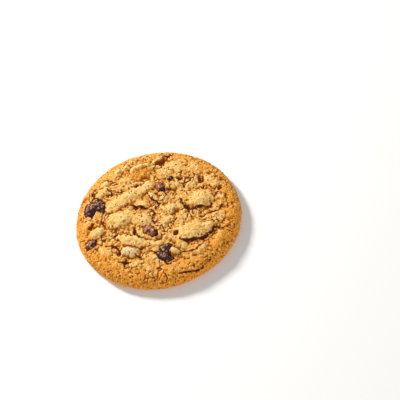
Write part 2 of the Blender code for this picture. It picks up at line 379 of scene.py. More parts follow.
def ring_plan():
    """The blank's rings from the top's middle to the underside's: radius, height, point count, run
    along the section, and whether the ring is on the underside."""
    curve = section_curve()
    run = np.concatenate([[0.0], np.cumsum(np.linalg.norm(np.diff(curve, axis=0), axis=1))])
    rings = []
    along = 0.0
    while along < run[-1]:
        radius = float(np.interp(along, run, curve[:, 0]))
        height = float(np.interp(along, run, curve[:, 1]))
        side = max(0.0, radius / COOKIE_RADIUS - 0.8) / 0.2
        spacing = TOP_SPACING + (SIDE_SPACING - TOP_SPACING) * side
        count = max(1, round(2.0 * math.pi * radius / spacing))
        rings.append((radius, height, count, along, False))
        along += spacing
    heel_radius = COOKIE_RADIUS - HEEL_WIDTH
    rings.append((heel_radius, 0.0, rings[-1][2], float(run[-1]), False))
    under_count = round(heel_radius / UNDER_SPACING)
    for step in range(under_count, -1, -1):
        radius = (heel_radius - UNDER_SPACING) * step / under_count
        count = max(1, round(2.0 * math.pi * radius / UNDER_SPACING))
        rings.append((radius, 0.0, count, 0.0, True))
    return rings


def stitch(first, count, second, other):
    """Triangles between two rings of points that start at the same angle; faces point outwards."""
    if count == 1:
        return [(first, second + k, second + (k + 1) % other) for k in range(other)]
    if other == 1:
        return [(first + (k + 1) % count, first + k, second) for k in range(count)]
    faces = []
    near, far = 0, 0
    while near < count or far < other:
        if far >= other or (near < count and (near + 1) * other <= (far + 1) * count):
            faces.append((first + near % count, second + far % other, first + (near + 1) % count))
            near += 1
        else:
            faces.append((first + near % count, second + far % other, second + (far + 1) % other))
            far += 1
    return faces


# The bake layout: a large disc for the top and side, and a small one for the underside, each as
# the place of its middle and its reach.
TOP_ISLAND = (0.410, 0.410, 0.403)
UNDER_ISLAND = (0.826, 0.826, 0.168)


def dough_blank():
    """The dough without relief: rings of points joined to one closed skin, with a bake layout."""
    rings = ring_plan()
    places, layout, under_layout, starts = [], [], [], []
    top_run = max(ring[3] for ring in rings)
    heel_radius = COOKIE_RADIUS - HEEL_WIDTH
    for radius, height, count, along, _ in rings:
        starts.append(len(places))
        for k in range(count):
            angle = 2.0 * math.pi * k / count
            swing = sum(size * math.sin(waves * angle + start)
                        for waves, size, start in OUTLINE_WAVES)
            reach = radius + swing * radius / COOKIE_RADIUS
            cosine, sine = math.cos(angle), math.sin(angle)
            places.append((reach * cosine, reach * sine, height))
            share = along / top_run * TOP_ISLAND[2]
            layout.append((TOP_ISLAND[0] + share * cosine, TOP_ISLAND[1] + share * sine))
            share = radius / heel_radius * UNDER_ISLAND[2]
            under_layout.append((UNDER_ISLAND[0] + share * cosine, UNDER_ISLAND[1] - share * sine))
    faces, under = [], []
    for k in range(len(rings) - 1):
        band = stitch(starts[k], rings[k][2], starts[k + 1], rings[k + 1][2])
        faces += band
        under += [rings[k + 1][4]] * len(band)
    mesh = bpy.data.meshes.new("dough_blank")
    mesh.from_pydata(places, [], faces)
    layout = np.array(layout)
    under_layout = np.array(under_layout)
    corner_points = np.array(faces).ravel()
    corner_under = np.repeat(np.array(under), 3)[:, None]
    corners = np.where(corner_under, under_layout[corner_points], layout[corner_points])
    mesh.uv_layers.new(name="OFBake").data.foreach_set("uv", corners.ravel().astype(np.float32))
    mesh.shade_smooth()
    return add_object("dough_blank", mesh)


def crack_lines():
    """The cracks as one curve object; a point's radius is the half width, its tilt the depth.
    Both taper at a crack's ends."""
    end_width, end_depth = 0.35, 0.6
    curve = bpy.data.curves.new("crack_lines", "CURVE")
    curve.dimensions = "3D"
    curve.resolution_u = 8
    for crack in CRACKS:
        spline = curve.splines.new("BEZIER")
        spline.bezier_points.add(len(crack.points) - 1)
        last = len(crack.points) - 1
        for k, (point, (x, y)) in enumerate(zip(spline.bezier_points, crack.points)):
            point.co = (x * MM, y * MM, 0.0)
            point.handle_left_type = "AUTO"
            point.handle_right_type = "AUTO"
            at_end = k in (0, last)
            point.radius = crack.half_width * (end_width if at_end else 1.0)
            point.tilt = crack.depth * (end_depth if at_end else 1.0)
    return add_object("crack_lines", curve)


# ---------------------------------------------------------------- the dough's relief

def mound_tree():
    """Height of one mound at a place."""
    tree, w, given, made = new_tree(
        "mound", "GeometryNodeTree",
        [("Place", "NodeSocketVector", None), ("Centre", "NodeSocketVector", None),
         ("Half Sizes", "NodeSocketVector", None), ("Turn", "NodeSocketFloat", 0.0),
         ("Rise", "NodeSocketFloat", 0.0), ("Fullness", "NodeSocketFloat", 2.0)],
        [("Height", "NodeSocketFloat", None)])
    offset = w.vector("SUBTRACT", given["Place"], given["Centre"])
    turned = w.node("ShaderNodeVectorRotate", rotation_type="Z_AXIS", invert=True)
    w.feed(turned.inputs["Vector"], offset)
    w.feed(turned.inputs["Angle"], given["Turn"])
    share = w.vector("LENGTH", w.vector("DIVIDE", turned.outputs["Vector"], given["Half Sizes"]))
    fall = w.minus(1.0, w.math("POWER", share, given["Fullness"]))
    w.feed(made["Height"], w.times(given["Rise"], w.math("MAXIMUM", fall, 0.0)))
    return tree


def highest_mound(w, mound, place, mounds, blend):
    """Join of many mounds: the highest at each place, softened where two meet."""
    height = 0.0
    for lump in mounds:
        node = w.node("GeometryNodeGroup", node_tree=mound)
        w.feed(node.inputs["Place"], place)
        w.feed(node.inputs["Centre"], (lump.x * MM, lump.y * MM, 0.0))
        w.feed(node.inputs["Half Sizes"], (lump.half_length * MM, lump.half_width * MM, 1.0))
        w.feed(node.inputs["Turn"], math.radians(lump.turn))
        w.feed(node.inputs["Rise"], lump.rise * MM)
        w.feed(node.inputs["Fullness"], lump.fullness)
        if isinstance(height, float):
            height = node.outputs["Height"]
        else:
            height = w.math("SMOOTH_MAX", height, node.outputs["Height"], blend)
    return height


def store(w, geometry, name, value):
    """Store a value on the points of a geometry, under a name that materials read."""
    node = w.node("GeometryNodeStoreNamedAttribute", data_type="FLOAT", domain="POINT")
    w.feed(node.inputs["Geometry"], geometry)
    w.feed(node.inputs["Name"], name)
    w.feed(node.inputs["Value"], value)
    return node.outputs["Geometry"]


def dough_relief_tree():
    """Turns the smooth blank into baked dough: mounds, hollows, cracks, crags, nubs and pores."""
    tree, w, given, made = new_tree(
        "dough_relief", "GeometryNodeTree",
        [("Geometry", "NodeSocketGeometry", None), ("Crack Lines", "NodeSocketObject", None),
         ("Crag Size", "NodeSocketFloat", 7.0 * MM), ("Crag Height", "NodeSocketFloat", 0.65 * MM),
         ("Lump Size", "NodeSocketFloat", 2.8 * MM), ("Lump Height", "NodeSocketFloat", 1.3 * MM),
         ("Nub Size", "NodeSocketFloat", 1.25 * MM), ("Nub Height", "NodeSocketFloat", 0.8 * MM),
         ("Grit Size", "NodeSocketFloat", 0.75 * MM), ("Grit Height", "NodeSocketFloat", 0.5 * MM),
         ("Rim Grit Height", "NodeSocketFloat", 1.3 * MM),
         ("Hair Crack Spacing", "NodeSocketFloat", 3.4 * MM),
         ("Hair Crack Depth", "NodeSocketFloat", 0.65 * MM),
         ("Pore Spacing", "NodeSocketFloat", 1.4 * MM), ("Pore Depth", "NodeSocketFloat", 0.65 * MM),
         ("Mound Lift", "NodeSocketFloat", 1.12), ("Mound Blend", "NodeSocketFloat", 0.70 * MM),
         ("Skin", "NodeSocketMaterial", None)],
        [("Geometry", "NodeSocketGeometry", None)])
    mound = mound_tree()
    place = w.node("GeometryNodeInputPosition").outputs["Position"]
    normal = w.node("GeometryNodeInputNormal").outputs["Normal"]
    radius = w.vector("LENGTH", w.vector("MULTIPLY", place, (1.0, 1.0, 0.0)))
    height = w.node("ShaderNodeSeparateXYZ")
    w.feed(height.inputs[0], place)
    height = height.outputs["Z"]

    # Everything below is drawn on places that wander a little, so that no outline is even.
    def wander(size, reach):
        shift = w.vector("SUBTRACT", w.noise(place, size, 2.0, output="Color"), (0.5, 0.5, 0.5))
        return w.scaled(shift, reach)

    broad = wander(6.0 * MM, 3.0 * MM)
    fine = wander(1.9 * MM, 2.4 * MM)
    wandering = w.vector("ADD", w.vector("ADD", place, broad), fine)
    wandering = w.vector("MULTIPLY", wandering, (1.0, 1.0, 0.0))

    # 1 over the craggy middle and 0 at the rim; and 1 above the underside, which stays flat.
    inner = w.ramp(radius, RIM_STARTS, MIDDLE_ENDS)
    upper = w.ramp(height, 0.2 * MM, 1.8 * MM)

    def weaker_at_rim(value, rim_share):
        return w.times(value, w.plus(rim_share, w.times(inner, 1.0 - rim_share)))

    mounds = highest_mound(w, mound, wandering, MOUNDS, given["Mound Blend"])
    hollows = highest_mound(w, mound, wandering, HOLLOWS, 0.2 * MM)
    on_mound = w.ramp(mounds, 0.3 * MM, 1.6 * MM)

    # Cracks: nearness to the lines, which carry their own half width and depth.
    lines = w.node("GeometryNodeObjectInfo", transform_space="ORIGINAL")
    w.feed(lines.inputs["Object"], given["Crack Lines"])
    resampled = w.node("GeometryNodeResampleCurve", mode="LENGTH")
    w.feed(resampled.inputs["Curve"], lines.outputs["Geometry"])
    w.feed(resampled.inputs["Length"], 0.25 * MM)
    points = w.node("GeometryNodeCurveToPoints", mode="EVALUATED")
    w.feed(points.inputs["Curve"], resampled.outputs["Curve"])
    near = w.node("GeometryNodeProximity", target_element="POINTS")
    w.feed(near.inputs["Geometry"], points.outputs["Points"])
    w.feed(near.inputs["Sample Position"], wandering)
    nearest = w.node("GeometryNodeSampleNearest", domain="POINT")
    w.feed(nearest.inputs["Geometry"], points.outputs["Points"])
    w.feed(nearest.inputs["Sample Position"], wandering)

    def carried(field):
        node = w.node("GeometryNodeSampleIndex", data_type="FLOAT", domain="POINT")
        w.feed(node.inputs["Geometry"], points.outputs["Points"])
        w.feed(node.inputs["Value"], field)
        w.feed(node.inputs["Index"], nearest.outputs["Index"])
        return node.outputs["Value"]

    point_radius = w.node("GeometryNodeInputRadius").outputs["Radius"]
    point_tilt = w.node("GeometryNodeInputNamedAttribute", data_type="FLOAT")
    w.feed(point_tilt.inputs["Name"], "tilt")
    uneven = w.ramp(w.noise(place, 2.6 * MM, 2.0), 0.3, 0.7, 0.45, 1.7)
    half_width = w.times(w.times(carried(point_radius), MM), uneven)
    depth = w.times(carried(point_tilt.outputs["Attribute"]), MM)
    crack = w.ramp(w.math("DIVIDE", near.outputs["Distance"], half_width), 1.25, 0.25)
    crack = w.times(crack, w.ramp(height, 1.0 * MM, 3.5 * MM))
    cracks = w.times(crack, depth)

    # Crags: torn steps between the mounds, with short cliffs.
    step_count = 6.0
    slope = w.noise(w.vector("ADD", place, fine), given["Crag Size"], 3.0, 0.55)
    slope = w.times(slope, step_count)
    step = w.math("FLOOR", slope)
    step = w.plus(step, w.ramp(w.minus(slope, step), 0.25, 0.75))
    crag = w.times(w.minus(step, 0.5 * step_count), given["Crag Height"])
    crag = w.times(crag, w.minus(1.0, w.times(on_mound, 0.7)))
    crag = weaker_at_rim(crag, 0.12)

    # Small lumps, nubs and grit all over, a little calmer on the mounds.
    lump = w.noise(w.vector("ADD", place, w.scaled(fine, 0.5)), given["Lump Size"], 2.0, 0.5)
    lump = weaker_at_rim(w.times(w.minus(lump, 0.5), given["Lump Height"]), 0.5)
    nub = w.noise(place, given["Nub Size"], 3.0, 0.6)
    nub = w.times(w.minus(nub, 0.5), given["Nub Height"])
    nub = w.times(nub, w.ramp(inner, 0.0, 1.0, 1.9, 1.0))
    grit = w.noise(place, given["Grit Size"], 2.0, 0.6)
    grit_height = w.ramp(inner, 0.0, 1.0, given["Rim Grit Height"], given["Grit Height"])
    grit = w.times(w.minus(grit, 0.5), grit_height)
    small = w.plus(w.plus(lump, nub), grit)
    small = w.times(small, w.minus(1.0, w.times(on_mound, 0.08)))

    # Hair cracks in some places.
    hair = w.cells(w.vector("ADD", place, fine), given["Hair Crack Spacing"], "DISTANCE_TO_EDGE")
    hair = w.ramp(hair, 0.13, 0.03)
    hair_where = w.ramp(w.noise(place, 5.0 * MM, 1.0), 0.50, 0.60)
    hair = w.times(hair, hair_where)
    hair = weaker_at_rim(w.times(hair, w.minus(1.0, on_mound)), 0.42)

    # Pores: ragged pits in patches, in some cells only and of uneven size.
    pore_place = w.vector("ADD", place, w.scaled(fine, 0.45))
    pore_distance = w.cells(pore_place, given["Pore Spacing"])
    chance = w.node("ShaderNodeSeparateXYZ")
    w.feed(chance.inputs[0], w.cells(pore_place, given["Pore Spacing"], output="Color"))
    rarity = w.ramp(inner, 0.0, 1.0, 1.1, 2.4)
    pore_size = w.times(w.math("POWER", chance.outputs["X"], rarity), 0.58)
    pore_patch = w.ramp(w.noise(place, 4.5 * MM, 1.0), 0.38, 0.62, 0.55, 1.15)
    pore_size = w.times(pore_size, pore_patch)
    pore = w.ramp(pore_distance, pore_size, w.times(pore_size, 0.3))

    raised = w.minus(w.times(mounds, given["Mound Lift"]), hollows)
    raised = w.times(raised, inner)
    raised = w.plus(raised, w.plus(crag, small))
    raised = w.minus(raised, cracks)
    raised = w.minus(raised, w.times(hair, given["Hair Crack Depth"]))
    raised = w.minus(raised, w.times(pore, given["Pore Depth"]))
    raised = w.times(raised, upper)

    geometry = given["Geometry"]
    geometry = store(w, geometry, "relief", raised)
    geometry = store(w, geometry, "crack", w.math("MAXIMUM", crack, w.times(hair, 0.62)))
    geometry = store(w, geometry, "pore", w.times(pore, upper))
    # Darker dough in the deeper hollows; sink_pockets darkens under and round the chips too.
    shallow = w.ramp(hollows, 0.1 * MM, 1.2 * MM, 0.0, 0.62)
    deep = w.ramp(hollows, 2.5 * MM, 3.2 * MM, 0.0, 0.38)
    geometry = store(w, geometry, "darkening", w.plus(shallow, deep))

    def stored(name):
        node = w.node("GeometryNodeInputNamedAttribute", data_type="FLOAT")
        w.feed(node.inputs["Name"], name)
        return node.outputs["Attribute"]

    # A small sideways shift that frays the edges of cracks and nubs.
    frayed = w.vector("MULTIPLY", wander(1.3 * MM, 0.7 * MM), (1.0, 1.0, 0.0))
    frayed = w.scaled(frayed, upper)
    move = w.node("GeometryNodeSetPosition")
    w.feed(move.inputs["Geometry"], geometry)
    w.feed(move.inputs["Offset"], w.vector("ADD", w.scaled(normal, stored("relief")), frayed))
    geometry = move.outputs["Geometry"]

    # How steep each place is, for the browner colour of the lumps' flanks, partly toast and partly
    # painted shade.
    tilt = w.node("ShaderNodeSeparateXYZ")
    w.feed(tilt.inputs[0], normal)
    softened = w.node("GeometryNodeBlurAttribute", data_type="FLOAT")
    w.feed(softened.inputs["Value"], tilt.outputs["Z"])
    w.feed(softened.inputs["Iterations"], 8)
    geometry = store(w, geometry, "steep", w.ramp(softened.outputs["Value"], 0.96, 0.60))

    # How hollow each place is beside its near and its wider surroundings, for painted shade in
    # hollows and painted light on raised places.
    for name, rounds, reach in (("hollow", 10, 0.35 * MM), ("dip", 260, 1.2 * MM)):
        blurred = w.node("GeometryNodeBlurAttribute", data_type="FLOAT")
        w.feed(blurred.inputs["Value"], stored("relief"))
        w.feed(blurred.inputs["Iterations"], rounds)
        lower = w.minus(blurred.outputs["Value"], stored("relief"))
        geometry = store(w, geometry, name, w.ramp(lower, -reach, reach, smooth=False))

    realized = w.node("GeometryNodeRealizeInstances")
    w.feed(realized.inputs["Geometry"], geometry)
    finished = w.node("GeometryNodeSetMaterial")
    w.feed(finished.inputs["Geometry"], realized.outputs["Geometry"])
    w.feed(finished.inputs["Material"], given["Skin"])
    w.feed(made["Geometry"], finished.outputs["Geometry"])
    return tree


# ---------------------------------------------------------------- chips and their pockets

def even_copy(name):
    """A packed chip's shape, with even small faces."""
    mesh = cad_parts[name].data.copy()
    shape = bmesh.new()
    shape.from_mesh(mesh)
    bmesh.ops.remove_doubles(shape, verts=shape.verts, dist=0.001 * MM)
    shape.to_mesh(mesh)
    shape.free()
    item = add_object(name + "_shape", mesh)
    even = item.modifiers.new("even", "REMESH")
    even.mode = "VOXEL"
    even.voxel_size = CHIP_SPACING
    soften = item.modifiers.new("soften", "SMOOTH")
    soften.factor = 0.6
    soften.iterations = 6
    depsgraph = bpy.context.evaluated_depsgraph_get()
    made = bpy.data.meshes.new_from_object(item.evaluated_get(depsgraph), depsgraph=depsgraph)
    item.modifiers.clear()
    item.data = made
    return item


def chip_relief_tree():
    """Broken faces, dents and a fine grain on chocolate."""
    tree, w, given, made = new_tree(
        "chip_relief", "GeometryNodeTree",
        [("Geometry", "NodeSocketGeometry", None), ("Face Size", "NodeSocketFloat", 2.9 * MM),
         ("Face Depth", "NodeSocketFloat", 1.1 * MM), ("Dent Size", "NodeSocketFloat", 2.0 * MM),
         ("Dent Depth", "NodeSocketFloat", 1.5 * MM), ("Grain Depth", "NodeSocketFloat", 0.30 * MM),
         ("Bloom", "NodeSocketFloat", 0.3), ("Chocolate", "NodeSocketMaterial", None)],
        [("Geometry", "NodeSocketGeometry", None)])
    place = w.node("GeometryNodeInputPosition").outputs["Position"]
    normal = w.node("GeometryNodeInputNormal").outputs["Normal"]
    dent = w.noise(place, given["Dent Size"], 2.0)
    dent = w.times(w.minus(dent, 0.55), given["Dent Depth"])
    face = w.cells(place, given["Face Size"])
    face = w.times(w.minus(face, 0.22), given["Face Depth"])
    grain = w.noise(place, 0.6 * MM, 3.0, 0.6)
    grain = w.times(w.minus(grain, 0.5), given["Grain Depth"])
    offset = w.plus(w.plus(dent, face), grain)
    move = w.node("GeometryNodeSetPosition")
    w.feed(move.inputs["Geometry"], given["Geometry"])
    w.feed(move.inputs["Offset"], w.scaled(normal, offset))
    realized = w.node("GeometryNodeRealizeInstances")
    w.feed(realized.inputs["Geometry"], store(w, move.outputs["Geometry"], "bloom_and_sheen", given["Bloom"]))
    finished = w.node("GeometryNodeSetMaterial")
    w.feed(finished.inputs["Geometry"], realized.outputs["Geometry"])
    w.feed(finished.inputs["Material"], given["Chocolate"])
    w.feed(made["Geometry"], finished.outputs["Geometry"])
    return tree


def bit_shapes():
    """The small bits of chocolate, as one mesh of little lumps."""
    shape = bmesh.new()
    for bit in CHIP_BITS:
        half_sizes = (bit.half_length * MM, bit.half_width * MM, bit.half_height * MM, 1.0)
        place = (Matrix.Translation((bit.x * MM, bit.y * MM, bit.z * MM))
                 @ Matrix.Rotation(math.radians(bit.turn), 4, "Z")
                 @ Matrix.Diagonal(half_sizes))
        bmesh.ops.create_icosphere(shape, subdivisions=4, radius=1.0, matrix=place)
    mesh = bpy.data.meshes.new("chip_bits")
    shape.to_mesh(mesh)
    shape.free()
    mesh.shade_smooth()
    return add_object("chip_bits", mesh)


def sink_pockets(dough, chips):
    """Push the dough down under each chip and a hair's breadth round it, and darken it there and
    nearby.
    """
    below = -50.0 * MM
    margin = 2.0 * MM
    mesh = dough.data
    darkening = mesh.attributes.get("darkening")
    points = np.empty(len(mesh.vertices) * 3, np.float32)
    mesh.vertices.foreach_get("co", points)
    points = points.reshape(-1, 3)
    darkened = np.empty(len(mesh.vertices), np.float32)
    darkening.data.foreach_get("value", darkened)
    for chip in chips:
        tree = BVHTree.FromObject(chip, bpy.context.evaluated_depsgraph_get())
        corners = np.array([v.co for v in chip.data.vertices])
        low, high = corners.min(axis=0) - margin, corners.max(axis=0) + margin
        inside = np.all((points[:, :2] > low[:2]) & (points[:, :2] < high[:2]), axis=1)
        inside &= points[:, 2] > LOWEST_FLOOR + 0.5 * MM
        waist = (corners[:, 2].min() + corners[:, 2].max()) / 2.0
        for k in np.nonzero(inside)[0]:
            spot = Vector(points[k])
            nearest, normal, _, distance = tree.find_nearest(spot)
            if nearest is None:
                continue
            buried = (spot - nearest).dot(normal) < 0.0
            if buried or distance < POCKET_GAP:
                hit = tree.ray_cast(Vector((spot.x, spot.y, below)), Vector((0.0, 0.0, 1.0)))[0]
                floor = (hit.z if hit is not None else waist) - POCKET_GAP
                points[k, 2] = min(points[k, 2], max(floor, LOWEST_FLOOR))
                darkened[k] = 1.0
            elif distance < DARKENING_REACH:
                darkened[k] = max(darkened[k], 1.0 - distance / DARKENING_REACH)
    mesh.vertices.foreach_set("co", points.ravel())
    darkening.data.foreach_set("value", darkened)
    mesh.update()


# ---------------------------------------------------------------- crumbs

def joined_mesh(name, items):
    """One mesh of several objects' meshes."""
    shape = bmesh.new()
    for item in items:
        shape.from_mesh(item.data)
    mesh = bpy.data.meshes.new(name)
    shape.to_mesh(mesh)
    shape.free()
    return mesh


def crumb_tree():
    """Crumbs of dough strewn over a surface: uneven grains, realized as one mesh."""
    tree, w, given, made = new_tree(
        "crumbs", "GeometryNodeTree",
        [("Geometry", "NodeSocketGeometry", None), ("Density", "NodeSocketFloat", 60000.0),
         ("Smallest", "NodeSocketFloat", 0.16 * MM), ("Largest", "NodeSocketFloat", 0.42 * MM),
         ("Raggedness", "NodeSocketFloat", 0.28 * MM),
         ("Seed", "NodeSocketInt", 5), ("Skin", "NodeSocketMaterial", None)],
        [("Geometry", "NodeSocketGeometry", None)])
    # Crumbs lie only where the surface isn't too steep to hold them.
    steepest_hold = 0.35
    normal = w.node("GeometryNodeInputNormal").outputs["Normal"]
    facing = w.vector("DOT_PRODUCT", normal, (0.0, 0.0, 1.0))
    up = w.math("GREATER_THAN", facing, steepest_hold)
    strewn = w.node("GeometryNodeDistributePointsOnFaces", distribute_method="RANDOM")
    w.feed(strewn.inputs["Mesh"], given["Geometry"])
    w.feed(strewn.inputs["Selection"], up)
    w.feed(strewn.inputs["Density"], given["Density"])
    w.feed(strewn.inputs["Seed"], given["Seed"])
    grain = w.node("GeometryNodeMeshIcoSphere")
    w.feed(grain.inputs["Radius"], 1.0)
    w.feed(grain.inputs["Subdivisions"], 2)
    turn = w.node("FunctionNodeRandomValue", data_type="FLOAT_VECTOR")
    w.feed(turn.inputs[1], (math.tau, math.tau, math.tau))
    w.feed(turn.inputs["Seed"], given["Seed"])
    size = w.node("FunctionNodeRandomValue", data_type="FLOAT")
    w.feed(size.inputs["Seed"], w.plus(given["Seed"], 1.0))
    share = w.math("POWER", size.outputs[1], 2.5)
    spread = w.minus(given["Largest"], given["Smallest"])
    size = w.plus(given["Smallest"], w.times(share, spread))
    squat = w.node("FunctionNodeRandomValue", data_type="FLOAT_VECTOR")
    w.feed(squat.inputs[0], (0.7, 0.7, 0.6))
    w.feed(squat.inputs[1], (1.3, 1.1, 0.9))
    w.feed(squat.inputs["Seed"], w.plus(given["Seed"], 2.0))
    placed = w.node("GeometryNodeInstanceOnPoints")
    w.feed(placed.inputs["Points"], strewn.outputs["Points"])
    w.feed(placed.inputs["Instance"], grain.outputs["Mesh"])
    w.feed(placed.inputs["Rotation"], turn.outputs[0])
    w.feed(placed.inputs["Scale"], w.scaled(squat.outputs[0], size))
    realized = w.node("GeometryNodeRealizeInstances")
    w.feed(realized.inputs["Geometry"], placed.outputs["Instances"])
    place = w.node("GeometryNodeInputPosition").outputs["Position"]
    shift = w.vector("SUBTRACT", w.noise(place, 0.35 * MM, 1.0, output="Color"), (0.5, 0.5, 0.5))
    move = w.node("GeometryNodeSetPosition")
    w.feed(move.inputs["Geometry"], realized.outputs["Geometry"])
    w.feed(move.inputs["Offset"], w.scaled(shift, given["Raggedness"]))
    finished = w.node("GeometryNodeSetMaterial")
    w.feed(finished.inputs["Geometry"], move.outputs["Geometry"])
    w.feed(finished.inputs["Material"], given["Skin"])
    w.feed(made["Geometry"], finished.outputs["Geometry"])
    return tree


# ---------------------------------------------------------------- materials

def baked_colour_group():
    """Colour of baked dough: golden; orange where toasted, and where painted shade comes in with the
    toast; pale on raised places as painted light; brown in hollows, dips and steep flanks, mostly as
    painted shade; and darker in pits."""
    tree, w, given, made = new_tree(
        "baked_colour", "ShaderNodeTree",
        [("Place", "NodeSocketVector", None), ("Toast", "NodeSocketFloat", 0.0),
         ("Hollow", "NodeSocketFloat", 0.5), ("Dip", "NodeSocketFloat", 0.5),
         ("Steep", "NodeSocketFloat", 0.0), ("Pit", "NodeSocketFloat", 0.0),
         ("Flour", "NodeSocketFloat", 0.0),
         ("Pale", "NodeSocketColor", (0.87, 0.59, 0.220, 1.0)),
         ("Floury", "NodeSocketColor", (0.80, 0.64, 0.38, 1.0)),
         ("Golden", "NodeSocketColor", (0.78, 0.41, 0.080, 1.0)),
         ("Orange", "NodeSocketColor", (0.86, 0.345, 0.034, 1.0)),
         ("Brown", "NodeSocketColor", (0.46, 0.135, 0.008, 1.0)),
         ("Burnt", "NodeSocketColor", (0.30, 0.062, 0.004, 1.0)),
         ("Dark", "NodeSocketColor", (0.070, 0.014, 0.003, 1.0))],
        [("Colour", "NodeSocketColor", None), ("Grain", "NodeSocketFloat", None)])
    patch = w.noise(given["Place"], 6.0 * MM, 3.0, 0.6)
    speck = w.noise(given["Place"], 0.9 * MM, 3.0, 0.7)
    grain = w.noise(given["Place"], 0.35 * MM, 2.0, 0.6)
    speckled = w.times(w.minus(speck, 0.5), 2.8)
    toast_and_shade = w.plus(given["Toast"], w.times(w.minus(patch, 0.5), 1.3))
    toast_and_shade = w.plus(toast_and_shade, w.times(speckled, 0.5))
    # Painted shade and light: the lower and steeper a place lies among its neighbours, the browner;
    # the higher, the paler.
    low = w.plus(w.times(w.minus(given["Hollow"], 0.5), 2.0),
                 w.times(w.minus(given["Dip"], 0.5), 1.35))
    low = w.plus(low, w.times(speckled, 0.5))
    low = w.plus(low, w.times(given["Steep"], 0.5))
    colour = w.mix(w.ramp(toast_and_shade, -0.15, 0.60), given["Golden"], given["Orange"])
    painted_light = w.ramp(w.plus(low, w.times(toast_and_shade, 0.7)), 0.08, -0.80)
    colour = w.mix(painted_light, colour, given["Pale"])
    flour = w.times(given["Flour"], w.ramp(w.minus(speck, low), 0.2, 0.9))
    colour = w.mix(flour, colour, given["Floury"])
    colour = w.mix(w.ramp(low, 0.06, 0.95), colour, given["Brown"])
    # Pits: painted shade in cracks and pores, and the darkening in deep hollows and round chips.
    colour = w.mix(w.ramp(given["Pit"], 0.05, 0.5), colour, given["Burnt"])
    colour = w.mix(w.ramp(given["Pit"], 0.45, 0.95), colour, given["Dark"])
    w.feed(made["Colour"], colour)
    rough = w.plus(w.times(grain, 0.4), w.times(speck, 0.6))
    w.feed(made["Grain"], rough)
    return tree


def principled(name, roughness, subsurface=0.0):
    """A material with its wiring and the inputs of its Principled shader."""
    material = bpy.data.materials.new(name)
    material.use_nodes = True
    w = Wiring(material.node_tree)
    shader = material.node_tree.nodes["Principled BSDF"]
    shader.inputs["Roughness"].default_value = roughness
    shader.inputs["Subsurface Weight"].default_value = subsurface
    shader.inputs["Subsurface Radius"].default_value = (1.0, 0.4, 0.15)
    shader.inputs["Subsurface Scale"].default_value = 1.6 * MM
    return material, w, shader.inputs


def read_attribute(w, name):
    """A value stored on the mesh."""
    node = w.node("ShaderNodeAttribute", attribute_type="GEOMETRY", attribute_name=name)
    return node.outputs["Fac"]


def bump(w, height, distance, strength):
    """Normals from a height."""
    node = w.node("ShaderNodeBump")
    w.feed(node.inputs["Height"], height)
    w.feed(node.inputs["Distance"], distance)
    w.feed(node.inputs["Strength"], strength)
    return node.outputs["Normal"]


def patches_mask(w, place, patches):
    """1 in the middle of each patch, and 0 past its reach."""
    mask = 0.0
    level = w.vector("MULTIPLY", place, (1.0, 1.0, 0.0))
    for x, y, reach in patches:
        away = w.vector("DISTANCE", level, (x * MM, y * MM, 0.0))
        mask = w.math("MAXIMUM", mask, w.ramp(away, reach * MM, 0.3 * reach * MM))
    return mask


def dough_material(baked):
    """Skin of the baked dough."""
    material, w, shader = principled("baked_dough", 0.62, 0.06)
    shader["Specular IOR Level"].default_value = 0.12
    place = w.node("ShaderNodeTexCoord").outputs["Object"]
    split = w.node("ShaderNodeSeparateXYZ")
    w.feed(split.inputs[0], place)
    radius = w.vector("LENGTH", w.vector("MULTIPLY", place, (1.0, 1.0, 0.0)))
    rim = w.ramp(radius, 28.0 * MM, 44.0 * MM, -0.10, 0.65)
    # Painted shade: the rim's orange is stronger on the side turned from the key light.
    towards = w.math("DIVIDE", w.vector("DOT_PRODUCT", place, SHADED_RIM_SIDE), COOKIE_RADIUS)
    rim = w.times(rim, w.ramp(towards, -0.9, 0.7, 0.35, 1.0))
    low = w.ramp(split.outputs["Z"], 6.0 * MM, 1.0 * MM, 0.0, 0.5)
    # Pits: cracks and pores darkened as painted shade, partly also a caramel red-brown, with the
    # darkening of deep hollows and chip pockets.
    pore_weight = w.ramp(radius, 34.0 * MM, 42.0 * MM, 0.66, 0.50)
    pore = w.times(read_attribute(w, "pore"), pore_weight)
    pit = w.math("MAXIMUM", read_attribute(w, "crack"), pore)
    pit = w.math("MAXIMUM", pit, w.times(read_attribute(w, "darkening"), 0.62))
    flour = patches_mask(w, place, FLOURY_PATCHES)
    painted_shade = patches_mask(w, place, SHADED_PATCHES)
    colour = w.node("ShaderNodeGroup", node_tree=baked)
    w.feed(colour.inputs["Place"], place)
    w.feed(colour.inputs["Flour"], w.times(flour, 0.65))
    # Painted shade: the shaded patches add to the toast and to the steepness, for orange-brown.
    toast_and_shade = w.plus(w.plus(rim, low), w.times(painted_shade, 0.45))
    w.feed(colour.inputs["Toast"], toast_and_shade)
    w.feed(colour.inputs["Hollow"], read_attribute(w, "hollow"))
    w.feed(colour.inputs["Dip"], read_attribute(w, "dip"))
    steep = w.times(read_attribute(w, "steep"), w.ramp(rim, 0.5, 0.2))
    w.feed(colour.inputs["Steep"], w.plus(steep, w.times(painted_shade, 1.5)))
    w.feed(colour.inputs["Pit"], pit)
    w.feed(shader["Base Color"], colour.outputs["Colour"])
    w.feed(shader["Roughness"], w.ramp(colour.outputs["Grain"], 0.3, 0.7, 0.72, 0.55))
    w.feed(shader["Normal"], bump(w, colour.outputs["Grain"], 0.60 * MM, 1.0))
    return material


def crumb_material(baked):
    """Skin of the crumbs: the same dough, with a colour of its own for each crumb's place."""
    material, w, shader = principled("dough_crumbs", 0.65, 0.10)
    place = w.node("ShaderNodeTexCoord").outputs["Object"]
    colour = w.node("ShaderNodeGroup", node_tree=baked)
    w.feed(colour.inputs["Place"], place)
    w.feed(colour.inputs["Toast"], w.ramp(w.noise(place, 1.2 * MM, 0.0), 0.3, 0.7, -0.5, 0.5))
    w.feed(colour.inputs["Hollow"], 0.45)
    w.feed(shader["Base Color"], colour.outputs["Colour"])
    return material


